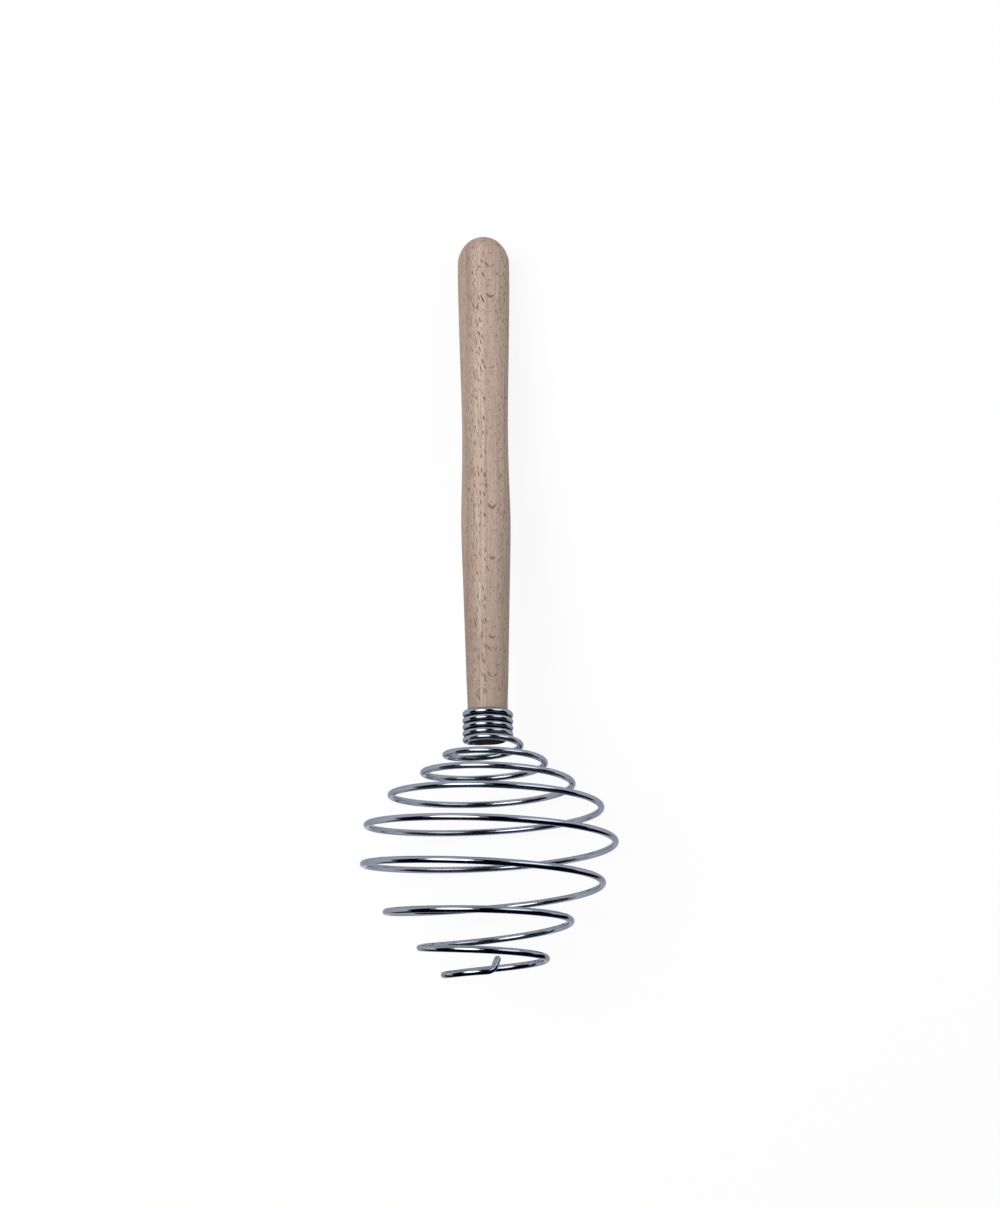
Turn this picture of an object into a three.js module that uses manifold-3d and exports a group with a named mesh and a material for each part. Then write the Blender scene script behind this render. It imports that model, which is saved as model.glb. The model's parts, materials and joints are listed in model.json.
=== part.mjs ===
// A spiral whisk: a turned beech handle, and one length of plated spring wire that is wound tight round
// the handle's lower end and then freehand, turn by turn, into an open balloon.
//
// Units are millimetres and +Z is up. The whisk lies on a table along Y, on the widest turns of its
// balloon and the round end of its handle. Both pieces are made about the whisk's own length, which runs
// along Y: its zero is where the wire leaves the collar, the handle is on the plus side and the balloon
// on the minus side, +Z is the whisk's upper side, and angles run from +X over -Z.

import * as THREE from 'three';
import Module from 'manifold-3d';
import { mergeVertices } from 'three/addons/utils/BufferGeometryUtils.js';

const wasm = await Module();
wasm.setup();

// Wire
const wireDiameter = 2.5;
const wireSides = 6;
const stepsPerTurn = 24;

// Collar: the close turns that grip the wood. Each runs level across the top and steps down underneath.
const collarTurns = 5;
const collarTurnGap = 0.55;
const collarFoot = 1.4;
const collarFlare = 0.3;

// Balloon: it is wound freehand, so each half turn from the collar down has its own radius, in hundredths
// of the widest one, and its own drop below the half turn before it, in hundredths of the length
const balloonRadius = 46.75;
const balloonLength = 84;
const radiusShares = [24, 35.8, 43.8, 53.2, 66.1, 78.6, 89, 97, 100, 99, 89.5, 80.1, 64.7, 52.7, 45.8, 33.3, 21.4];
const dropShares = [0, 4.7, 3.7, 4.4, 5.2, 4.8, 6.2, 6.9, 8.7, 8.1, 9.9, 10.7, 5.4, 9.9, 5.6, 6, -1.2];
const hundredth = 0.01;
const balloonLean = 0.024;
const balloonLeanCentre = 37.5;

// The lower end of the wire is turned up towards the handle
const tipBendRadius = 3;
const tipBendDegrees = 70;
const tipLegLength = 4.2;

// The upper end of the wire is turned in, and sits in a hole drilled in the back of the handle
const anchorOffsetSteps = 1.5;
const anchorLegLength = 4;
const anchorEndPlay = 0.6;
const anchorHoleSides = 12;

// Handle, from the spigot up: a narrow neck, a bulge for the fingers, a waist, and the wide round grip.
// Their places are in hundredths of its length.
const fitClearance = 0.3;
const handleLength = 211.95;
const spigotDiameter = 13.8;
const spigotEndHeight = 1.1;
const spigotChamfer = 0.4;
const neckDiameter = 15.3;
const neckChamfer = 0.65;
const bulgePlace = 42.1;
const bulgeDiameter = 19.45;
const waistPlace = 58;
const waistDiameter = 18.4;
const gripPlace = 90;
const gripDiameter = 21.25;
const domeDiameter = 21.3;
const domeHeight = 11.2;
const domeCrownReach = 5.9;
const domeShoulderReach = 6.2;
const handleSegments = 48;
const curveSteps = 18;

// Worked out from the sizes above
const wireRadius = wireDiameter / 2;
const collarRadius = spigotDiameter / 2 + fitClearance + wireRadius;
const collarPitch = wireDiameter + collarTurnGap;
const stepAngle = (2 * Math.PI) / stepsPerTurn;
const halfTurn = Math.PI;

// Half turn stations of the wire: how far from its centre line, how high, and how far to the side that
// centre line is. A collar turn keeps one level from its left side to its right side, and the last one
// opens a little. The two stations above the wire's own start only shape the curve there.
const collarStations = [];
for (let half = 2 * collarTurns + 1; half >= 1; half -= 1) {
  const level = Math.floor(half / 2);
  const radius = level === 0 ? collarRadius + collarFlare : collarRadius;
  collarStations.push(new THREE.Vector3(radius, collarFoot + level * collarPitch, 0));
}
const balloonStations = [];
let balloonHeight = 0;
radiusShares.forEach((share, half) => {
  const radius = share * hundredth * balloonRadius;
  balloonHeight -= dropShares[half] * hundredth * balloonLength;
  const side = balloonLean * (balloonHeight + balloonLeanCentre);
  balloonStations.push(new THREE.Vector3(radius, balloonHeight, side));
});
const stations = [...collarStations, ...balloonStations];
const course = new THREE.CatmullRomCurve3(stations, false, 'catmullrom', 0.5);

// The point of the wire at an angle, counted from where it leaves the collar on the right
function wirePoint(angle) {
  const station = angle / halfTurn + collarStations.length;
  const { x: radius, y: height, z: side } = course.getPoint(station / (stations.length - 1));
  return new THREE.Vector3(side + radius * Math.cos(angle), height, -radius * Math.sin(angle));
}

// Which way the wire runs at an angle, towards its lower end
function wireDirection(angle) {
  const short = stepAngle / 100;
  return wirePoint(angle + short).sub(wirePoint(angle - short)).normalize();
}

// Goes on from a point in a direction: a bend towards another direction, then a straight leg
function bentEnd(start, direction, towards, bendRadius, bendAngle, legLength) {
  const ahead = direction.clone();
  const aside = towards.clone().addScaledVector(ahead, -towards.dot(ahead)).normalize();
  const bendSteps = Math.ceil(bendAngle / (2 * stepAngle));
  const points = [];
  for (let step = 1; step <= bendSteps; step += 1) {
    const angle = (bendAngle * step) / bendSteps;
    points.push(
      start
        .clone()
        .addScaledVector(ahead, bendRadius * Math.sin(angle))
        .addScaledVector(aside, bendRadius * (1 - Math.cos(angle))),
    );
  }
  const leg = ahead.multiplyScalar(Math.cos(bendAngle)).addScaledVector(aside, Math.sin(bendAngle));
  points.push(points.at(-1).clone().addScaledVector(leg, legLength));
  return points;
}

// The wound part of the wire runs from the back of the handle to the front of the last turn
const backAngle = halfTurn / 2;
const anchorAngle = anchorOffsetSteps * stepAngle;
const windStart = backAngle - collarTurns * 2 * halfTurn + anchorAngle;
const windEnd = (radiusShares.length - 2) * halfTurn + halfTurn / 2;
const wound = [];
for (let angle = windStart; angle < windEnd - stepAngle / 4; angle += stepAngle) {
  wound.push(wirePoint(angle));
}
wound.push(wirePoint(windEnd));

// Lower end: bends from its run across the front up towards the handle
const up = new THREE.Vector3(0, 1, 0);
const tipBend = THREE.MathUtils.degToRad(tipBendDegrees);
const tipEnd = bentEnd(wound.at(-1), wireDirection(windEnd), up, tipBendRadius, tipBend, tipLegLength);

// Upper end: bends from the collar's circle until it points straight at the handle's centre
const anchorBendRadius = (collarRadius * Math.sin(anchorAngle)) / (1 + Math.sin(anchorAngle));
const anchorDirection = wireDirection(windStart).negate();
const inwards = new THREE.Vector3(-Math.cos(windStart), 0, Math.sin(windStart));
const anchorBend = halfTurn / 2 + anchorAngle;
function anchorPath(legLength) {
  return bentEnd(wound[0], anchorDirection, inwards, anchorBendRadius, anchorBend, legLength).reverse();
}
const wirePath = [...anchorPath(anchorLegLength), ...wound, ...tipEnd];

// A closed round bar along a path, with flat ends
function barAlong(path, radius, sides) {
  const positions = [];
  const index = [];
  const last = path.length - 1;
  const across = new THREE.Vector3(0, 1, 0);
  const other = new THREE.Vector3();
  path.forEach((point, ring) => {
    const tangent = path[Math.min(ring + 1, last)].clone().sub(path[Math.max(ring - 1, 0)]).normalize();
    across.addScaledVector(tangent, -across.dot(tangent)).normalize();
    other.crossVectors(tangent, across);
    for (let corner = 0; corner < sides; corner += 1) {
      const angle = (2 * Math.PI * (corner + 0.5)) / sides;
      const place = point
        .clone()
        .addScaledVector(across, radius * Math.cos(angle))
        .addScaledVector(other, radius * Math.sin(angle));
      positions.push(...place.toArray());
    }
  });
  const startCentre = path.length * sides;
  const endCentre = startCentre + 1;
  positions.push(...path[0].toArray(), ...path[last].toArray());
  for (let corner = 0; corner < sides; corner += 1) {
    const next = (corner + 1) % sides;
    for (let ring = 0; ring < last; ring += 1) {
      const near = ring * sides;
      const far = near + sides;
      index.push(near + corner, near + next, far + corner);
      index.push(near + next, far + next, far + corner);
    }
    index.push(startCentre, next, corner);
    index.push(endCentre, last * sides + corner, last * sides + next);
  }
  const geometry = new THREE.BufferGeometry();
  geometry.setAttribute('position', new THREE.Float32BufferAttribute(positions, 3));
  geometry.setIndex(index);
  geometry.computeVertexNormals();
  return geometry;
}

// The least gap between stretches of a wire that are more than half a turn apart
function leastSelfGap(path, diameter) {
  let least = Infinity;
  for (let one = 0; one < path.length; one += 1) {
    for (let two = one + stepsPerTurn / 2; two < path.length; two += 1) {
      least = Math.min(least, path[one].distanceTo(path[two]));
    }
  }
  return least - diameter;
}

// A geometry as a solid for cutting: shared corners merged, and no triangle with two corners alike
function solidOf(geometry) {
  const bare = geometry.clone();
  bare.deleteAttribute('normal');
  bare.deleteAttribute('uv');
  const merged = mergeVertices(bare);
  const corners = merged.index.array;
  const perTriangle = 3;
  const triangles = [];
  for (let at = 0; at < corners.length; at += perTriangle) {
    const [a, b, c] = corners.slice(at, at + perTriangle);
    if (a !== b && b !== c && c !== a) {
      triangles.push(a, b, c);
    }
  }
  const mesh = new wasm.Mesh({
    numProp: 3,
    vertProperties: new Float32Array(merged.getAttribute('position').array),
    triVerts: new Uint32Array(triangles),
  });
  return new wasm.Manifold(mesh);
}

function geometryOf(solid) {
  const mesh = solid.getMesh();
  const geometry = new THREE.BufferGeometry();
  geometry.setAttribute('position', new THREE.BufferAttribute(mesh.vertProperties, 3));
  geometry.setIndex(new THREE.BufferAttribute(mesh.triVerts, 1));
  geometry.computeVertexNormals();
  return geometry;
}

// The handle's outline, from the middle of the spigot's end round to the middle of the dome
function handleOutline() {
  const spigotRadius = spigotDiameter / 2;
  const wireTop = Math.max(...wound.map((point) => point.y)) + wireRadius;
  const shoulderHeight = wireTop + fitClearance;
  const heightAt = (place) => spigotEndHeight + place * hundredth * handleLength;
  const domeTop = spigotEndHeight + handleLength;
  const domeFoot = domeTop - domeHeight;
  const swells = [
    [neckDiameter, shoulderHeight + neckChamfer],
    [bulgeDiameter, heightAt(bulgePlace)],
    [waistDiameter, heightAt(waistPlace)],
    [gripDiameter, heightAt(gripPlace)],
    [domeDiameter, domeFoot],
  ].map(([diameter, height]) => new THREE.Vector3(diameter / 2, height, 0));
  const grip = new THREE.CatmullRomCurve3(swells, false, 'centripetal');
  const dome = new THREE.CubicBezierCurve3(
    new THREE.Vector3(domeDiameter / 2, domeFoot, 0),
    new THREE.Vector3(domeDiameter / 2, domeFoot + domeShoulderReach, 0),
    new THREE.Vector3(domeCrownReach, domeTop, 0),
    new THREE.Vector3(0, domeTop, 0),
  );
  return [
    new THREE.Vector3(0, spigotEndHeight, 0),
    new THREE.Vector3(spigotRadius - spigotChamfer, spigotEndHeight, 0),
    new THREE.Vector3(spigotRadius, spigotEndHeight + spigotChamfer, 0),
    new THREE.Vector3(spigotRadius, shoulderHeight, 0),
    ...grip.getPoints(curveSteps),
    ...dome.getPoints(curveSteps / 2).slice(1),
  ].map((point) => new THREE.Vector2(point.x, point.y));
}

function makeHandle() {
  const facetDown = Math.PI / handleSegments;
  const turned = new THREE.LatheGeometry(handleOutline(), handleSegments, facetDown);
  const holeRadius = (wireRadius + fitClearance) / Math.cos(Math.PI / anchorHoleSides);
  const hole = barAlong(anchorPath(anchorLegLength + anchorEndPlay), holeRadius, anchorHoleSides);
  const beech = new THREE.MeshStandardMaterial({ color: 0xb89a86, roughness: 0.62, metalness: 0 });
  const mesh = new THREE.Mesh(geometryOf(solidOf(turned).subtract(solidOf(hole))), beech);
  mesh.name = 'beech_handle';
  return mesh;
}

function makeWire() {
  const plated = new THREE.MeshStandardMaterial({ color: 0xa9abb4, roughness: 0.18, metalness: 1 });
  const mesh = new THREE.Mesh(barAlong(wirePath, wireRadius, wireSides), plated);
  mesh.name = 'spiral_wire';
  return mesh;
}

// How low a mesh reaches once the whisk's handle is tipped down by an angle
function lowestAt(mesh, tilt) {
  const places = mesh.geometry.getAttribute('position');
  let lowest = Infinity;
  for (let at = 0; at < places.count; at += 1) {
    lowest = Math.min(lowest, places.getZ(at) * Math.cos(tilt) - places.getY(at) * Math.sin(tilt));
  }
  return lowest;
}

// The tilt at which the balloon and the handle's end both touch the table, found by halving a range
function restingTilt(wire, handle) {
  let low = 0;
  let high = halfTurn / 4;
  for (let halving = 0; halving < 40; halving += 1) {
    const middle = (low + high) / 2;
    if (lowestAt(handle, middle) > lowestAt(wire, middle)) {
      low = middle;
    } else {
      high = middle;
    }
  }
  return low;
}

const wire = makeWire();
const handle = makeHandle();
const whisk = new THREE.Group();
whisk.add(handle, wire);
whisk.rotation.x = -restingTilt(wire, handle);

// The origin is on the table, under the middle of the whisk's box
whisk.updateMatrixWorld(true);
const box = new THREE.Box3().setFromObject(whisk, true);
const middle = box.getCenter(new THREE.Vector3());
whisk.position.set(-middle.x, -middle.y, -box.min.z);

const whole = new THREE.Group();
whole.add(whisk);

console.log(`least gap of the wire to itself: ${leastSelfGap(wirePath, wireDiameter).toFixed(2)} mm`);

export default whole;
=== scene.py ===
import json
import math

import bpy
from mathutils import Matrix, Vector


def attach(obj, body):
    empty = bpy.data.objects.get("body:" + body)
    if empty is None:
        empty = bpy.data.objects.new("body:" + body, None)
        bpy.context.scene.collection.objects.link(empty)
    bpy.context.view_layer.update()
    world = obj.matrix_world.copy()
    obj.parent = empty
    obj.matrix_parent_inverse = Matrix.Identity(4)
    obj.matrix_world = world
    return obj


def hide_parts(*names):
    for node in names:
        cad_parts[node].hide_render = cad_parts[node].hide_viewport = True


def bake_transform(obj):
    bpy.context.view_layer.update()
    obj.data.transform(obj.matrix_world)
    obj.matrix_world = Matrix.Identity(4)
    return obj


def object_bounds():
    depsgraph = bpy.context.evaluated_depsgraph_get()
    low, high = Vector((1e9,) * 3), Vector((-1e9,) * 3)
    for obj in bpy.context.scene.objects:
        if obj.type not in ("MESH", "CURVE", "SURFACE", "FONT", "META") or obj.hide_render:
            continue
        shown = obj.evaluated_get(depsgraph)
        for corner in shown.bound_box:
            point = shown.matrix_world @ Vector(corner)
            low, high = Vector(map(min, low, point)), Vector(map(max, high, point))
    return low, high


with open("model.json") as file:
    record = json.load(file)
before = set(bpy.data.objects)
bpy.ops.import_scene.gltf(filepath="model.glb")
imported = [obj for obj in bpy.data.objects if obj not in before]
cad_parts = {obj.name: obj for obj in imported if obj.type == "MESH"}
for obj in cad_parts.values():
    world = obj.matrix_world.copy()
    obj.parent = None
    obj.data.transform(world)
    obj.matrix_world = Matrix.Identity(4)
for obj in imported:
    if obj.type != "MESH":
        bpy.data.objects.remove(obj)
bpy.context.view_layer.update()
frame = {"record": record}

# Beech handle
# One stick of steamed beech, turned on a lathe: a spigot inside the wire, a slim neck, a bulge for the
# fingers, a waist, a wider grip and a domed end. It is sanded and left bare, so rays and pores show.
SPIGOT_OUTLINE = [(0, 1.1), (6.2, 1.1), (6.62, 1.25), (6.9, 1.75), (7.1, 3.2), (7.3, 8)]
GRIP_OUTLINE = [(7.6, 12.5), (7.7, 17.2), (8, 25), (8.45, 40.8), (8.9, 56.9)]
GRIP_OUTLINE += [(9.4, 73.2), (9.72, 89.7), (9.3, 111), (9.2, 124), (9.3, 135)]
GRIP_OUTLINE += [(9.63, 149.8), (10.1, 167.5), (10.5, 185.6), (10.63, 195)]
DOME_OUTLINE = [(10.6, 202), (10.38, 204), (9.78, 206), (8.8, 208), (7.32, 210), (6.25, 211)]
DOME_OUTLINE += [(4.73, 212), (3.28, 212.6), (1.6, 212.95), (0, 213.05)]
HANDLE_SIDES = 96
OUTLINE_STEPS = 6
SHARP_EDGE = math.radians(40)

# The whisk lies on a table on its balloon and the end of its handle, so its own length is tipped. Sizes are
# in millimetres from where the wire leaves the collar: to the side, along the handle, and up from the whisk.
MM = 0.001
end_face = frame["record"]["mounts"][0]
SIDE = Vector((1, 0, 0))
ALONG = -Vector(end_face["axis"]).normalized()
OUT = SIDE.cross(ALONG)
ZERO = Vector(end_face["pos_m"]) - ALONG * SPIGOT_OUTLINE[0][1] * MM


def in_row(side, along, out):
    """The row frame's point, in metres, for a point of the whisk in millimetres."""
    return ZERO + (SIDE * side + ALONG * along + OUT * out) * MM


def smooth_line(points, steps):
    """Points on a smooth curve through the given ones, with some steps from each to the next."""
    ends = [points[0] * 2 - points[1], *points, points[-1] * 2 - points[-2]]
    line = []
    for at in range(1, len(ends) - 2):
        before, here, there, after = ends[at - 1 : at + 3]
        for step in range(steps):
            t = step / steps
            line.append(
                here * (2 * t**3 - 3 * t**2 + 1)
                + there * (3 * t**2 - 2 * t**3)
                + (there - before) / 2 * (t**3 - 2 * t**2 + t)
                + (after - here) / 2 * (t**3 - t**2)
            )
    return line + [points[-1]]


def turned_mesh(name, outline, sides):
    """A closed mesh turned round the whisk's length. Its outline's first and last points have no radius."""
    rings = outline[1:-1]
    corners = [in_row(0, outline[0][1], 0)]
    for radius, place in rings:
        for side in range(sides):
            angle = 2 * math.pi * side / sides
            corners.append(in_row(radius * math.cos(angle), place, -radius * math.sin(angle)))
    corners.append(in_row(0, outline[-1][1], 0))
    last = len(corners) - 1
    faces = []
    for side in range(sides):
        after = (side + 1) % sides
        faces.append((0, 1 + after, 1 + side))
        for ring in range(len(rings) - 1):
            low = 1 + ring * sides
            high = low + sides
            faces.append((low + side, low + after, high + after, high + side))
        top = last - sides
        faces.append((last, top + side, top + after))
    mesh = bpy.data.meshes.new(name)
    mesh.from_pydata(corners, [], faces)
    mesh.validate()
    return mesh


outline_points = [Vector(point) for point in SPIGOT_OUTLINE[1:] + GRIP_OUTLINE + DOME_OUTLINE]
handle_outline = [Vector(SPIGOT_OUTLINE[0]), *smooth_line(outline_points, OUTLINE_STEPS)]
handle = bpy.data.objects.new("handle", turned_mesh("handle", handle_outline, HANDLE_SIDES))
bpy.context.scene.collection.objects.link(handle)
handle.data.shade_smooth()
handle.data.set_sharp_from_angle(angle=SHARP_EDGE)


def add_node(tree, kind, inputs=None, **settings):
    """Adds a node with its settings. An input that is a socket is linked, and any other is set."""
    made = tree.nodes.new(kind)
    for name, value in settings.items():
        setattr(made, name, value)
    for name, value in (inputs or {}).items():
        if isinstance(value, bpy.types.NodeSocket):
            tree.links.new(value, made.inputs[name])
        else:
            made.inputs[name].default_value = value
    return made


def maths(tree, operation, *values):
    """The result of an operation of the Math node."""
    return add_node(tree, "ShaderNodeMath", dict(enumerate(values)), operation=operation).outputs[0]


def vector_maths(tree, operation, *values):
    """The outputs of the Vector Math node. The first is a vector, and Value is a length or a dot product."""
    return add_node(tree, "ShaderNodeVectorMath", dict(enumerate(values)), operation=operation).outputs


def ranged(tree, value, start, end, low=0.0, high=1.0, smooth=False):
    """Goes from low to high as a value goes from start to end, and stays there beyond them."""
    return add_node(
        tree,
        "ShaderNodeMapRange",
        {"Value": value, "From Min": start, "From Max": end, "To Min": low, "To Max": high},
        interpolation_type="SMOOTHSTEP" if smooth else "LINEAR",
    ).outputs["Result"]


# Streaks along a length: noise drawn out by its own amount each way, used for the grain and the wire
streaks = bpy.data.node_groups.new("long_streaks", "ShaderNodeTree")
for socket_name, socket_kind in (
    ("Coordinates", "NodeSocketVector"),
    ("Density", "NodeSocketVector"),
    ("Low", "NodeSocketFloat"),
    ("High", "NodeSocketFloat"),
):
    streaks.interface.new_socket(socket_name, in_out="INPUT", socket_type=socket_kind)
streaks.interface.new_socket("Mask", in_out="OUTPUT", socket_type="NodeSocketFloat")
given = add_node(streaks, "NodeGroupInput").outputs
drawn_out = vector_maths(streaks, "MULTIPLY", given["Coordinates"], given["Density"])[0]
streak_noise = add_node(
    streaks, "ShaderNodeTexNoise", {"Vector": drawn_out, "Scale": 1.0, "Detail": 3.0}
).outputs["Fac"]
streak_range = ranged(streaks, streak_noise, given["Low"], given["High"], smooth=True)
add_node(streaks, "NodeGroupOutput", {"Mask": streak_range})


def streak_mask(tree, coordinates, density, low, high):
    """A mask of streaks in a material's tree. Density is how many there are to a millimetre, each way."""
    made = add_node(tree, "ShaderNodeGroup", node_tree=streaks)
    tree.links.new(coordinates, made.inputs["Coordinates"])
    made.inputs["Density"].default_value = density
    made.inputs["Low"].default_value = low
    made.inputs["High"].default_value = high
    return made.outputs["Mask"]


def mixed(tree, mask, one, other):
    """One colour where the mask is 0 and the other where it is 1."""
    return add_node(tree, "ShaderNodeMix", {0: mask, 6: one, 7: other}, data_type="RGBA").outputs[2]


def make_beech():
    """Beech in solid form: its patterns fill the stick, so they run through its front, sides and ends."""
    grey_tan = (0.4, 0.32, 0.262, 1)
    dark_pink = (0.325, 0.222, 0.182, 1)
    rose = (0.43, 0.308, 0.255, 1)
    pink = (0.505, 0.372, 0.307, 1)
    tan = (0.52, 0.408, 0.333, 1)
    pale = (0.63, 0.492, 0.407, 1)
    growth_layers = [(-12, grey_tan), (-9.8, grey_tan), (-9.2, rose), (-8.6, dark_pink), (-7.4, rose)]
    growth_layers += [(-6.2, tan), (-4.8, pale), (-3.3, pale), (-2.3, pink), (-0.8, pink), (2.5, tan)]
    growth_layers += [(6, tan), (12, rose)]
    layer_brown = (0.27, 0.175, 0.13, 1)
    olive = (0.36, 0.3, 0.235, 1)
    pore_brown = (0.22, 0.155, 0.12, 1)
    ray_brown = (0.06, 0.034, 0.022, 1)
    fleck_brown = (0.25, 0.15, 0.088, 1)
    silver_brown = (0.3, 0.215, 0.16, 1)
    blush_pink = (0.5, 0.33, 0.275, 1)
    lower_end_brown = (0.22, 0.16, 0.125, 1)
    # The spigot end's two colours are painted shade
    end_shade_brown = (0.012, 0.003, 0.002, 1)
    end_shade_red = (0.07, 0.022, 0.012, 1)
    ray_turn = math.radians(15)
    grain_slope = math.radians(-3.5)
    ray_solid_share = 0.75
    waver_width = 1.4

    material = bpy.data.materials.new("beech")
    material.use_nodes = True
    tree = material.node_tree
    shader = tree.nodes["Principled BSDF"]

    # The stick's own directions: out from the heart of the tree, along the fibres, and round the rings
    across = SIDE * math.cos(ray_turn) - OUT * math.sin(ray_turn)
    face = SIDE * math.sin(ray_turn) + OUT * math.cos(ray_turn)
    fibre = (ALONG * math.cos(grain_slope) + face * math.sin(grain_slope)).normalized()
    turned = Matrix((across, fibre, across.cross(fibre))).transposed().to_euler()
    place = add_node(tree, "ShaderNodeTexCoord").outputs["Object"]
    grain = add_node(
        tree,
        "ShaderNodeMapping",
        {"Vector": place, "Location": ZERO, "Rotation": turned, "Scale": (MM, MM, MM)},
        vector_type="TEXTURE",
    ).outputs[0]

    # Where the front runs with the rays it cuts them lengthwise, and they show as broader, warmer flecks
    surface_way = add_node(tree, "ShaderNodeTexCoord").outputs["Normal"]
    slant = vector_maths(tree, "DOT_PRODUCT", surface_way, face)["Value"]
    facing = ranged(tree, slant, 0.96, 0.99, smooth=True)
    ray_colour = mixed(tree, facing, ray_brown, fleck_brown)

    # Where the front or the back runs with them, the rays' lenses are thinner, so that fewer are cut
    lengthwise_cut = maths(tree, "POWER", maths(tree, "ABSOLUTE", slant), 6.0)
    thinned = ranged(tree, lengthwise_cut, 0.0, 1.0, low=1.0, high=1.8)

    def ray_cells(spacing, reach, seed):
        """Lens-shaped rays: a mask that is stronger for some of them. Spacing is across, along and round."""
        density = [1 / size for size in spacing]
        drawn = vector_maths(tree, "MULTIPLY_ADD", grain, density, (seed, seed, seed))[0]
        cells = add_node(
            tree, "ShaderNodeTexVoronoi", {"Vector": drawn, "Scale": 1.0, "Randomness": 1.0}
        ).outputs
        from_middle = vector_maths(tree, "SUBTRACT", drawn, cells["Position"])[0]
        ways = add_node(tree, "ShaderNodeSeparateXYZ", {0: from_middle}).outputs
        round_way = maths(tree, "MULTIPLY", ways["Z"], thinned)
        lens = add_node(tree, "ShaderNodeCombineXYZ", {0: ways["X"], 1: ways["Y"], 2: round_way}).outputs[0]
        out_from = vector_maths(tree, "LENGTH", lens)["Value"]
        inside = ranged(tree, out_from, reach, reach * ray_solid_share, smooth=True)
        chance = add_node(tree, "ShaderNodeSeparateColor", {0: cells["Color"]}).outputs[0]
        strength = ranged(tree, chance, 0.1, 0.6)
        return maths(tree, "MULTIPLY", inside, strength)

    # Growth layers cross the stick side by side, and waver a little along it
    slow_grain = vector_maths(tree, "MULTIPLY", grain, (0.05, 0.018, 0.05))[0]
    waver = add_node(
        tree, "ShaderNodeTexNoise", {"Vector": slow_grain, "Scale": 1.0, "Detail": 2.0}
    ).outputs["Fac"]
    layer_place = add_node(tree, "ShaderNodeSeparateXYZ", {0: grain}).outputs["X"]
    layer_place = maths(tree, "MULTIPLY_ADD", waver, waver_width, layer_place)
    first = growth_layers[0][0]
    last = growth_layers[-1][0]
    middle_waver = waver_width / 2
    layer_share = ranged(tree, layer_place, first + middle_waver, last + middle_waver)
    ramp = add_node(tree, "ShaderNodeValToRGB", {"Fac": layer_share})
    stops = ramp.color_ramp.elements
    while len(stops) < len(growth_layers):
        stops.new(0.5)
    for stop, (layer, layer_colour) in zip(stops, growth_layers):
        stop.position = (layer - first) / (last - first)
        stop.color = layer_colour

    # Streaks, blushes, pores and rays lie over the layers, each of its own size across, along and round
    stripes = streak_mask(tree, grain, (0.8, 0.004, 0.15), 0.42, 0.62)
    layers = streak_mask(tree, grain, (1.5, 0.006, 0.3), 0.5, 0.66)
    olives = streak_mask(tree, grain, (1.1, 0.012, 0.25), 0.5, 0.62)
    lines = streak_mask(tree, grain, (2.6, 0.02, 2.6), 0.5, 0.62)
    blush = streak_mask(tree, grain, (0.32, 0.04, 0.32), 0.48, 0.57)
    pores = streak_mask(tree, grain, (4.5, 0.12, 4.5), 0.5, 0.72)
    mottle = streak_mask(tree, grain, (1.6, 0.5, 1.6), 0.35, 0.65)
    rays = ray_cells((14, 4.6, 0.44), 0.285, 0.0)
    short_rays = ray_cells((9, 3.0, 0.44), 0.27, 7.3)
    fine_rays = ray_cells((5, 1.1, 0.2), 0.38, 3.1)

    colour = ramp.outputs["Color"]
    for mask, strength, tone in (
        (stripes, 0.3, pink),
        (blush, 0.5, blush_pink),
        (olives, 0.42, olive),
        (layers, 0.38, layer_brown),
        (mottle, 0.2, pale),
        (lines, 0.22, pore_brown),
        (pores, 0.28, pore_brown),
        (fine_rays, 0.75, silver_brown),
        (short_rays, 0.65, ray_colour),
    ):
        colour = mixed(tree, maths(tree, "MULTIPLY", mask, strength), colour, tone)
    colour = mixed(tree, rays, colour, ray_colour)

    # The handle's colour is darker and duller towards its lower end, by the wire
    along_whisk = add_node(tree, "ShaderNodeSeparateXYZ", {0: grain}).outputs["Y"]
    lower_end_darkening = ranged(tree, along_whisk, 130.0, 0.0, high=0.36, smooth=True)
    colour = mixed(tree, lower_end_darkening, colour, lower_end_brown)

    # The spigot's end face sits inside the collar, and its near-black red-brown with streaks is painted
    # shade of that hollow
    spigot_end_shade = ranged(tree, along_whisk, 2.4, 1.4)
    end_streaks = streak_mask(tree, grain, (1.2, 0.1, 0.5), 0.45, 0.75)
    end_shade_colour = mixed(tree, end_streaks, end_shade_brown, end_shade_red)
    colour = mixed(tree, spigot_end_shade, colour, end_shade_colour)
    tree.links.new(colour, shader.inputs["Base Color"])

    # Fine sanding leaves it matt, with its pores and rays a little sunk, and the spigot's end face is
    # rougher still
    sanded = ranged(tree, mottle, 0.0, 1.0, low=0.52, high=0.66)
    tree.links.new(maths(tree, "MAXIMUM", sanded, spigot_end_shade), shader.inputs["Roughness"])
    sunk = maths(tree, "ADD", pores, rays)
    bump = add_node(
        tree, "ShaderNodeBump", {"Strength": 0.4, "Distance": 0.00004, "Height": sunk}, invert=True
    )
    tree.links.new(bump.outputs[0], shader.inputs["Normal"])
    shader.inputs["Specular IOR Level"].default_value = 0.25
    return material


handle.data.materials.append(make_beech())
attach(handle, "handle")
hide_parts("beech_handle")

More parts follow.
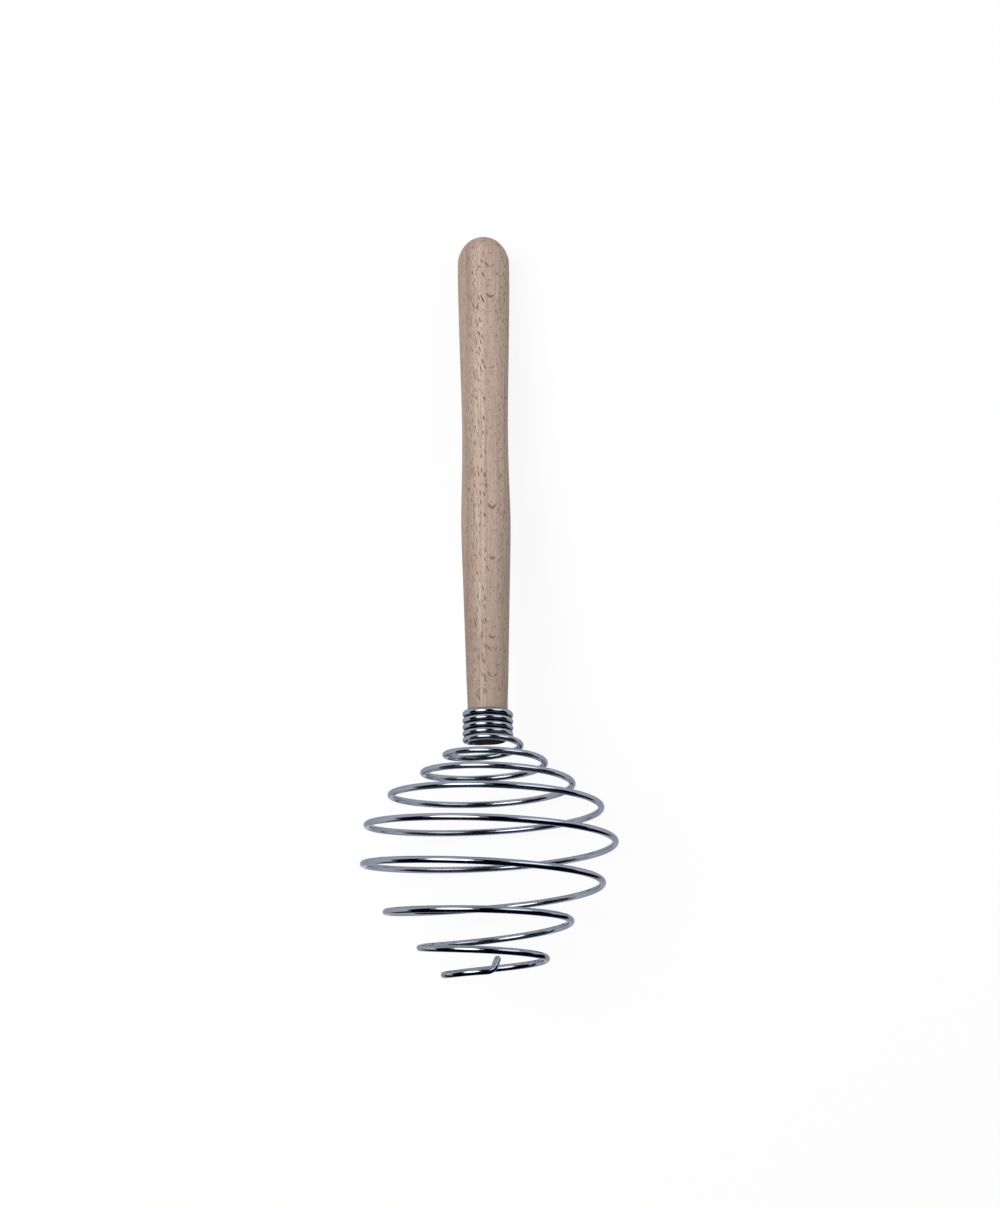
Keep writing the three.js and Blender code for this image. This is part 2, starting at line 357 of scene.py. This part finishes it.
# Spiral wire
# One length of bright plated spring steel wire, 2.5 mm thick. Its upper end is knocked into the back of the
# handle, five close turns bite into the wood, and the rest is wound freehand to a tip that is bent up.
WIRE = 2.5
WIRE_SIDES = 16
WELD_DISTANCE = 0.005
DEGREES_PER_STEP = 3
COLLAR_TURNS = 5
COLLAR_RADIUS = 8.4
COLLAR_FOOT = 1.25
COLLAR_SLOPE = 0.5
BALLOON_RADIUS = 46.75
BALLOON_LENGTH = 84
RADIUS_SHARES = [24, 35.8, 43.8, 53.2, 66.1, 78.6, 89, 97, 100, 99, 89.5]
RADIUS_SHARES += [80.1, 64.7, 52.7, 45.8, 33.3, 21.4]
DROP_SHARES = [0, 4.7, 3.7, 4.4, 5.2, 4.8, 6.2, 6.9, 8.7, 8.1, 9.9, 10.7, 5.4, 9.9, 5.6, 6, -1.2]
HALF_TURN_LIFTS = [0.5, 0, 0, 0, 0.2, -0.2, 0.1, 0.3, -0.35, -0.25, -0.4, 0, 0, -0.2, 0.1, 0.45, 0.5]
BALLOON_LEAN = 0.024
BALLOON_LEAN_CENTRE = 37.5
START_HALF_TURN = 1.625
TIP_CUT_HALF_TURN = 0.49
TIP_BEND = (3.5, 66, 3.8)
TIP_TOWARDS = Vector((0, 1, -0.5))
ANCHOR_BEND = (2.4, 112, 4)
BEND_STEPS = 12
LEG_STEPS = 8
DOME_STEPS = 6
DOME_ROOM = 0.1

# Half turn stations of the wire: how far from its centre line, how high, and how far to the side. The shares
# are percents of the balloon's radius and length, and a lift raises the middle of a half turn.
collar_halves = 2 * COLLAR_TURNS + 1
stations = []
for half in range(collar_halves, 0, -1):
    stations.append(Vector((COLLAR_RADIUS, COLLAR_FOOT + half // 2 * WIRE + half % 2 * COLLAR_SLOPE, 0)))
height = 0
for radius_share, drop_share in zip(RADIUS_SHARES, DROP_SHARES):
    height -= drop_share / 100 * BALLOON_LENGTH
    lean = BALLOON_LEAN * (height + BALLOON_LEAN_CENTRE)
    stations.append(Vector((radius_share / 100 * BALLOON_RADIUS, height, lean)))

# The wound wire runs from the back of the handle to the front of its last turn
steps_per_half = 180 // DEGREES_PER_STEP
course = smooth_line(stations, steps_per_half)
first_step = int(START_HALF_TURN * steps_per_half)
last_step = int((len(stations) - 1 - TIP_CUT_HALF_TURN) * steps_per_half)
wound = []
for step in range(first_step, last_step + 1):
    radius, place, side = course[step]
    angle = math.pi * (step / steps_per_half - collar_halves)
    half = math.floor(angle / math.pi) + 1
    if half >= 0:
        place += HALF_TURN_LIFTS[half] * math.sin(angle) ** 2
    wound.append(Vector((side + radius * math.cos(angle), place, -radius * math.sin(angle))))


def bent_end(start, ahead, towards, bend):
    """The points and the end of a bend, of some radius and degrees towards a direction, and its leg."""
    radius, degrees, leg = bend
    aside = (towards - ahead * towards.dot(ahead)).normalized()
    points = []
    for step in range(1, BEND_STEPS + 1):
        angle = math.radians(degrees) * step / BEND_STEPS
        points.append(start + ahead * radius * math.sin(angle) + aside * radius * (1 - math.cos(angle)))
    way = (ahead * math.cos(math.radians(degrees)) + aside * math.sin(math.radians(degrees))).normalized()
    leg_points = [points[-1] + way * leg * step / LEG_STEPS for step in range(1, LEG_STEPS)]
    return points + leg_points, points[-1] + way * leg


tip_points, tip = bent_end(wound[-1], (wound[-1] - wound[-2]).normalized(), TIP_TOWARDS, TIP_BEND)
inwards = Vector((-wound[0].x, 0, -wound[0].z)).normalized()
anchor_points, anchor = bent_end(wound[0], (wound[0] - wound[1]).normalized(), inwards, ANCHOR_BEND)

# The cut end is tumbled round, so the path's last points close up on the tip for its dome
rounding = [1 - math.sin(math.radians(90 * step / DOME_STEPS)) for step in range(DOME_STEPS + 1)]
tip_way = (tip - tip_points[-1]).normalized()
dome_points = [tip - tip_way * (WIRE / 2 * share) for share in rounding]
tip_points = [point for point in tip_points if (tip - point).length > WIRE / 2 + DOME_ROOM]
wire_path = [anchor, *reversed(anchor_points), *wound, *tip_points, *dome_points]

path_mesh = bpy.data.meshes.new("wire_path")
path_edges = [(at, at + 1) for at in range(len(wire_path) - 1)]
path_mesh.from_pydata([in_row(*point) for point in wire_path], path_edges, [])
wire = bpy.data.objects.new("wire", path_mesh)
bpy.context.scene.collection.objects.link(wire)


def make_wire_tree():
    """Geometry nodes that draw a round wire along a line, and round off its last end."""
    tree = bpy.data.node_groups.new("drawn_wire", "GeometryNodeTree")
    tree.interface.new_socket("Geometry", in_out="INPUT", socket_type="NodeSocketGeometry")
    tree.interface.new_socket("Wire Diameter", in_out="INPUT", socket_type="NodeSocketFloat")
    tree.interface.new_socket("Weld Distance", in_out="INPUT", socket_type="NodeSocketFloat")
    tree.interface.new_socket("Sides", in_out="INPUT", socket_type="NodeSocketInt")
    tree.interface.new_socket("Material", in_out="INPUT", socket_type="NodeSocketMaterial")
    tree.interface.new_socket("Geometry", in_out="OUTPUT", socket_type="NodeSocketGeometry")
    given = add_node(tree, "NodeGroupInput").outputs
    line = add_node(tree, "GeometryNodeMeshToCurve", {"Mesh": given["Geometry"]}).outputs[0]
    done = add_node(tree, "GeometryNodeSplineParameter").outputs["Length"]
    line = add_node(
        tree,
        "GeometryNodeStoreNamedAttribute",
        {"Geometry": line, "Name": "along_wire", "Value": done},
        data_type="FLOAT",
        domain="POINT",
    ).outputs[0]

    # Near the end the wire is as thick as a ball of its own radius
    half = maths(tree, "DIVIDE", given["Wire Diameter"], 2.0)
    whole = add_node(tree, "GeometryNodeSplineLength").outputs["Length"]
    left = maths(tree, "DIVIDE", maths(tree, "SUBTRACT", whole, done), half)
    from_middle = maths(tree, "SUBTRACT", 1.0, maths(tree, "MINIMUM", left, 1.0))
    ball = maths(tree, "SQRT", maths(tree, "SUBTRACT", 1.0, maths(tree, "POWER", from_middle, 2.0)))
    line = add_node(tree, "GeometryNodeSetCurveRadius", {"Curve": line, "Radius": ball}).outputs[0]
    ring = add_node(
        tree, "GeometryNodeCurvePrimitiveCircle", {"Resolution": given["Sides"], "Radius": half}
    ).outputs[0]
    on_ring = add_node(tree, "GeometryNodeInputPosition").outputs[0]
    ring = add_node(
        tree,
        "GeometryNodeStoreNamedAttribute",
        {"Geometry": ring, "Name": "round_wire", "Value": on_ring},
        data_type="FLOAT_VECTOR",
        domain="POINT",
    ).outputs[0]
    thickness = add_node(tree, "GeometryNodeInputRadius").outputs[0]
    swept = add_node(
        tree,
        "GeometryNodeCurveToMesh",
        {"Curve": line, "Profile Curve": ring, "Scale": thickness, "Fill Caps": True},
    ).outputs[0]
    closed = add_node(
        tree, "GeometryNodeMergeByDistance", {"Geometry": swept, "Distance": given["Weld Distance"]}
    ).outputs[0]
    smooth = add_node(tree, "GeometryNodeSetShadeSmooth", {"Geometry": closed}).outputs[0]
    real = add_node(tree, "GeometryNodeRealizeInstances", {"Geometry": smooth}).outputs[0]
    finished = add_node(
        tree, "GeometryNodeSetMaterial", {"Geometry": real, "Material": given["Material"]}
    ).outputs[0]
    add_node(tree, "NodeGroupOutput", {"Geometry": finished})
    return tree


def make_plating():
    """Bright, cool plating on drawn wire, with fine lines along it, smudges, and painted shade in the
    grooves between the turns.
    """
    lilac = (0.315, 0.325, 0.385, 1)
    blue = (0.275, 0.325, 0.375, 1)
    # The grooves' near-black colour is painted shade
    groove_shade_colour = (0.006, 0.009, 0.022, 1)
    edge_tint = (0.55, 0.56, 0.64, 1)
    groove_roughness = 0.25
    material = bpy.data.materials.new("plated_wire")
    material.use_nodes = True
    tree = material.node_tree
    shader = tree.nodes["Principled BSDF"]
    round_wire = add_node(tree, "ShaderNodeAttribute", attribute_name="round_wire").outputs["Vector"]
    along_wire = add_node(tree, "ShaderNodeAttribute", attribute_name="along_wire").outputs["Fac"]
    lengthwise = add_node(tree, "ShaderNodeCombineXYZ", {"Z": along_wire}).outputs[0]
    on_wire = vector_maths(tree, "ADD", round_wire, lengthwise)[0]
    on_wire = add_node(tree, "ShaderNodeVectorMath", {0: on_wire, 3: 1 / MM}, operation="SCALE").outputs[0]

    tone = streak_mask(tree, on_wire, (0.2, 0.2, 0.03), 0.35, 0.65)
    lines = streak_mask(tree, on_wire, (3.5, 3.5, 0.04), 0.45, 0.7)
    smudges = streak_mask(tree, on_wire, (0.5, 0.5, 0.25), 0.5, 0.72)
    # Painted shade: the collar's grooves, where the turns touch, are coloured near black and made rougher
    groove_shade_mask = add_node(tree, "ShaderNodeAttribute", attribute_name="between_turns").outputs["Fac"]
    plating = mixed(tree, tone, lilac, blue)
    tree.links.new(mixed(tree, groove_shade_mask, plating, groove_shade_colour), shader.inputs["Base Color"])
    shader.inputs["Metallic"].default_value = 1.0
    shader.inputs["Specular Tint"].default_value = edge_tint
    worn = ranged(tree, maths(tree, "ADD", lines, smudges), 0.0, 2.0, low=0.06, high=0.15)
    rough = maths(tree, "MULTIPLY_ADD", groove_shade_mask, groove_roughness, worn)
    tree.links.new(rough, shader.inputs["Roughness"])
    bump = add_node(
        tree, "ShaderNodeBump", {"Strength": 0.05, "Distance": 0.000005, "Height": lines}, invert=True
    )
    tree.links.new(bump.outputs[0], shader.inputs["Normal"])
    return material


wire_tree = make_wire_tree()
drawing = wire.modifiers.new("drawn_wire", "NODES")
drawing.node_group = wire_tree
wire_inputs = {
    "Wire Diameter": WIRE * MM,
    "Weld Distance": WELD_DISTANCE * MM,
    "Sides": WIRE_SIDES,
    "Material": make_plating(),
}
for item in wire_tree.interface.items_tree:
    if item.in_out == "INPUT" and item.name in wire_inputs:
        drawing[item.identifier] = wire_inputs[item.name]
drawn = wire.evaluated_get(bpy.context.evaluated_depsgraph_get())
wire.data = bpy.data.meshes.new_from_object(drawn)
wire.modifiers.remove(drawing)

# The grooves of the collar, where its turns touch, get painted shade. Outwards from the middle of the turns,
# it is full as far as the groove's foot, and ends at its edge.
GROOVE_EDGE = 1.1
GROOVE_FOOT = 0.6
groove_shade_values = []
for vertex in wire.data.vertices:
    from_zero = (vertex.co - ZERO) / MM
    place = from_zero.dot(ALONG)
    depth = COLLAR_RADIUS + GROOVE_EDGE - (from_zero - ALONG * place).length
    inside = COLLAR_FOOT < place < COLLAR_FOOT + COLLAR_TURNS * WIRE
    groove_shade_values.append(min(max(depth / (GROOVE_EDGE - GROOVE_FOOT), 0), 1) if inside else 0)
groove_shade_layer = wire.data.attributes.new("between_turns", "FLOAT", "POINT")
groove_shade_layer.data.foreach_set("value", groove_shade_values)
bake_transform(wire)
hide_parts("spiral_wire")

# Table
# A plain white sheet that the whisk lies on. Most of what the camera and the wire see of it is white, and
# the rest is an ordinary pale surface that keeps the whisk's soft shadow.
TABLE_HALF = 3.0
TABLE_SEEN = 0.8
TABLE_GLOW = 1.1
TABLE_SHADE = 0.6
TABLE_ROUGHNESS = 0.9
WHITE = (1, 1, 1, 1)
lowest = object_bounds()[0].z
table = bpy.data.objects.new("table", bpy.data.meshes.new("table"))
table_corners = [(x * TABLE_HALF, y * TABLE_HALF, lowest) for x, y in ((-1, -1), (1, -1), (1, 1), (-1, 1))]
table.data.from_pydata(table_corners, [], [(0, 1, 2, 3)])
bpy.context.scene.collection.objects.link(table)


def seen_white(tree):
    """A mask of the rays that see the background white: the camera's, and any off metal or through glass."""
    rays = add_node(tree, "ShaderNodeLightPath").outputs
    seen = rays["Is Camera Ray"]
    for sent_on in (rays["Is Glossy Ray"], rays["Is Transmission Ray"]):
        seen = maths(tree, "MAXIMUM", seen, sent_on)
    return seen


sheet_material = bpy.data.materials.new("white_sheet")
sheet_material.use_nodes = True
sheet_tree = sheet_material.node_tree
sheet_shader = sheet_tree.nodes["Principled BSDF"]
sheet_shader.inputs["Base Color"].default_value = (TABLE_SHADE, TABLE_SHADE, TABLE_SHADE, 1)
sheet_shader.inputs["Roughness"].default_value = TABLE_ROUGHNESS
sheet_glow = add_node(sheet_tree, "ShaderNodeEmission", {"Color": WHITE, "Strength": TABLE_GLOW}).outputs[0]
sheet_share = maths(sheet_tree, "MULTIPLY", seen_white(sheet_tree), TABLE_SEEN)
sheet_mix = add_node(
    sheet_tree, "ShaderNodeMixShader", {0: sheet_share, 1: sheet_shader.outputs[0], 2: sheet_glow}
).outputs[0]
sheet_tree.links.new(sheet_mix, sheet_tree.nodes["Material Output"].inputs["Surface"])
table.data.materials.append(sheet_material)

# View
# The camera looks down on the whisk from the tip's side, a little over half a metre away. It leans over from
# straight out of the whisk and is rolled slightly. Its aim and its distance are in millimetres.
LEAN_DEGREES = 16.3
ROLL_DEGREES = 0.7
DISTANCE = 570
AIM_SIDE = 5.15
AIM_UP = 53.0
LENS = 45.06
lean_turn = math.radians(LEAN_DEGREES)
roll_turn = math.radians(ROLL_DEGREES)
level_up = ALONG * math.cos(lean_turn) + OUT * math.sin(lean_turn)
back = OUT * math.cos(lean_turn) - ALONG * math.sin(lean_turn)
aim = ZERO + (SIDE * AIM_SIDE + level_up * AIM_UP) * MM
right = SIDE * math.cos(roll_turn) - level_up * math.sin(roll_turn)
up = SIDE * math.sin(roll_turn) + level_up * math.cos(roll_turn)


def placed(position, x_way, y_way, z_way):
    """The matrix of an object at a position, with its own directions turned to these."""
    return Matrix.Translation(position) @ Matrix((x_way, y_way, z_way)).transposed().to_4x4()


camera = bpy.data.objects.new("camera", bpy.data.cameras.new("camera"))
camera.data.lens = LENS
camera.matrix_world = placed(aim + back * DISTANCE * MM, right, up, back)
bpy.context.scene.collection.objects.link(camera)
bpy.context.scene.camera = camera

# Light
# Two broad soft windows over the whisk, the left one brighter, in front of a dark canopy that only the
# wire's reflections show. Directions are degrees to the right of and above the camera's, from the whisk.
WINDOW_REACH = 0.85
WINDOW_EDGE_REACH = 0.87


def point_at(to_right, above, reach):
    """The point at some distance from the whisk in a direction seen from it."""
    turn = math.radians(math.hypot(to_right, above))
    round_view = math.atan2(above, to_right)
    way = back * math.cos(turn) + (right * math.cos(round_view) + up * math.sin(round_view)) * math.sin(turn)
    return ZERO + way * reach


def add_window(name, to_right, above, width, height, reach, radiance):
    """A flat oval lamp of some degrees each way, at a distance, that faces the whisk."""
    lamp = bpy.data.lights.new(name, "AREA")
    lamp.shape = "ELLIPSE"
    lamp.size = 2 * reach * math.tan(math.radians(width / 2))
    lamp.size_y = 2 * reach * math.tan(math.radians(height / 2))
    lamp_area = math.pi / 4 * lamp.size * lamp.size_y
    lamp.energy = radiance * math.pi * lamp_area
    window = bpy.data.objects.new(name, lamp)
    window.location = point_at(to_right, above, reach)
    facing = (window.location - ZERO).normalized()
    sideways = up.cross(facing).normalized()
    window.matrix_world = placed(window.location, sideways, facing.cross(sideways), facing)
    window.visible_camera = False
    bpy.context.scene.collection.objects.link(window)


add_window("left_window", -31, 13, 44, 40, WINDOW_REACH, 4.7)
add_window("left_window_edge", -31, 15, 60, 54, WINDOW_EDGE_REACH, 0.62)
add_window("right_window", 45, 30, 42, 28, WINDOW_REACH, 2.4)
add_window("right_window_edge", 45, 28, 58, 46, WINDOW_EDGE_REACH, 0.4)

# The canopy is a wide dome behind the windows that comes down to the table
CANOPY_REACH = 1.15
CANOPY_MIDDLE = (3, -24)
CANOPY_HALF = (105, 82)
CANOPY_RINGS = 16
CANOPY_SIDES = 64
CLOTH_LIFT = 0.0005
canopy_corners = [point_at(*CANOPY_MIDDLE, CANOPY_REACH)]
canopy_rims = [0.0]
for ring in range(1, CANOPY_RINGS + 1):
    for side in range(CANOPY_SIDES):
        angle = 2 * math.pi * side / CANOPY_SIDES
        to_right = CANOPY_MIDDLE[0] + CANOPY_HALF[0] * ring / CANOPY_RINGS * math.cos(angle)
        above = CANOPY_MIDDLE[1] + CANOPY_HALF[1] * ring / CANOPY_RINGS * math.sin(angle)
        corner = point_at(to_right, above, CANOPY_REACH)
        corner.z = max(corner.z, lowest + CLOTH_LIFT)
        canopy_corners.append(corner)
        canopy_rims.append(ring / CANOPY_RINGS)
canopy_faces = []
for side in range(CANOPY_SIDES):
    after = (side + 1) % CANOPY_SIDES
    canopy_faces.append((0, 1 + side, 1 + after))
    for ring in range(CANOPY_RINGS - 1):
        low = 1 + ring * CANOPY_SIDES
        high = low + CANOPY_SIDES
        canopy_faces.append((low + side, high + side, high + after, low + after))
canopy = bpy.data.objects.new("canopy", bpy.data.meshes.new("canopy"))
canopy.data.from_pydata(canopy_corners, [], canopy_faces)
rim = canopy.data.attributes.new("rim", "FLOAT", "POINT")
rim.data.foreach_set("value", canopy_rims)
bpy.context.scene.collection.objects.link(canopy)

# A dark card on the table on the tip's side of the balloon, from near its turns out to the canopy's foot
CARD_MIDDLE = (0, -0.105)
CARD_RADII = [0.09, 0.125, 0.2, 0.5, 1.15]
CARD_TURNS = (-150, -8)
CARD_STEPS = 46
CARD_RIM_INSIDE = 0.8
card_corners = []
card_rims = []
for step in range(CARD_STEPS + 1):
    angle = math.radians(CARD_TURNS[0] + (CARD_TURNS[1] - CARD_TURNS[0]) * step / CARD_STEPS)
    for radius in CARD_RADII:
        place = Vector((math.cos(angle), math.sin(angle))) * radius + Vector(CARD_MIDDLE)
        card_corners.append((place.x, place.y, lowest + CLOTH_LIFT))
        at_edge = step in (0, CARD_STEPS) or radius == CARD_RADII[0]
        card_rims.append(1.0 if at_edge else CARD_RIM_INSIDE)
card_faces = []
for step in range(CARD_STEPS):
    for ring in range(len(CARD_RADII) - 1):
        corner = step * len(CARD_RADII) + ring
        card_faces.append((corner, corner + 1, corner + 1 + len(CARD_RADII), corner + len(CARD_RADII)))
card = bpy.data.objects.new("dark_card", bpy.data.meshes.new("dark_card"))
card.data.from_pydata(card_corners, [], card_faces)
bpy.context.scene.collection.objects.link(card)
card_rim = card.data.attributes.new("rim", "FLOAT", "POINT")
card_rim.data.foreach_set("value", card_rims)

# Both are of one dark cloth that fades out at its rim
CLOTH_BLUE_BLACK = (0.002, 0.003, 0.01, 1)
RIM_FADE_START = 0.85
canopy_material = bpy.data.materials.new("dark_cloth")
canopy_material.use_nodes = True
canopy_tree = canopy_material.node_tree
canopy_dark = add_node(
    canopy_tree, "ShaderNodeEmission", {"Color": CLOTH_BLUE_BLACK, "Strength": 1.0}
).outputs[0]
canopy_open = add_node(canopy_tree, "ShaderNodeBsdfTransparent").outputs[0]
rim_value = add_node(canopy_tree, "ShaderNodeAttribute", attribute_name="rim").outputs["Fac"]
rim_mask = ranged(canopy_tree, rim_value, RIM_FADE_START, 1.0, smooth=True)
canopy_mix = add_node(
    canopy_tree, "ShaderNodeMixShader", {0: rim_mask, 1: canopy_dark, 2: canopy_open}
).outputs[0]
canopy_tree.links.new(canopy_mix, canopy_tree.nodes["Material Output"].inputs["Surface"])
for cloth in (canopy, card):
    cloth.data.materials.append(canopy_material)
    cloth.visible_camera = False
    cloth.visible_diffuse = False
    cloth.visible_shadow = False

# The room lights everything evenly and dimly, and where the camera and the wire see it, it is white
ROOM_LIGHT = 0.25
world = bpy.data.worlds.new("studio")
bpy.context.scene.world = world
world.use_nodes = True
world_tree = world.node_tree
room = world_tree.nodes["Background"]
room.inputs["Color"].default_value = WHITE
room.inputs["Strength"].default_value = ROOM_LIGHT
white = add_node(world_tree, "ShaderNodeBackground", {"Color": WHITE, "Strength": 1.0}).outputs[0]
world_mix = add_node(
    world_tree, "ShaderNodeMixShader", {0: seen_white(world_tree), 1: room.outputs[0], 2: white}
).outputs[0]
world_tree.links.new(world_mix, world_tree.nodes["World Output"].inputs["Surface"])
bpy.context.scene.view_settings.view_transform = "Standard"
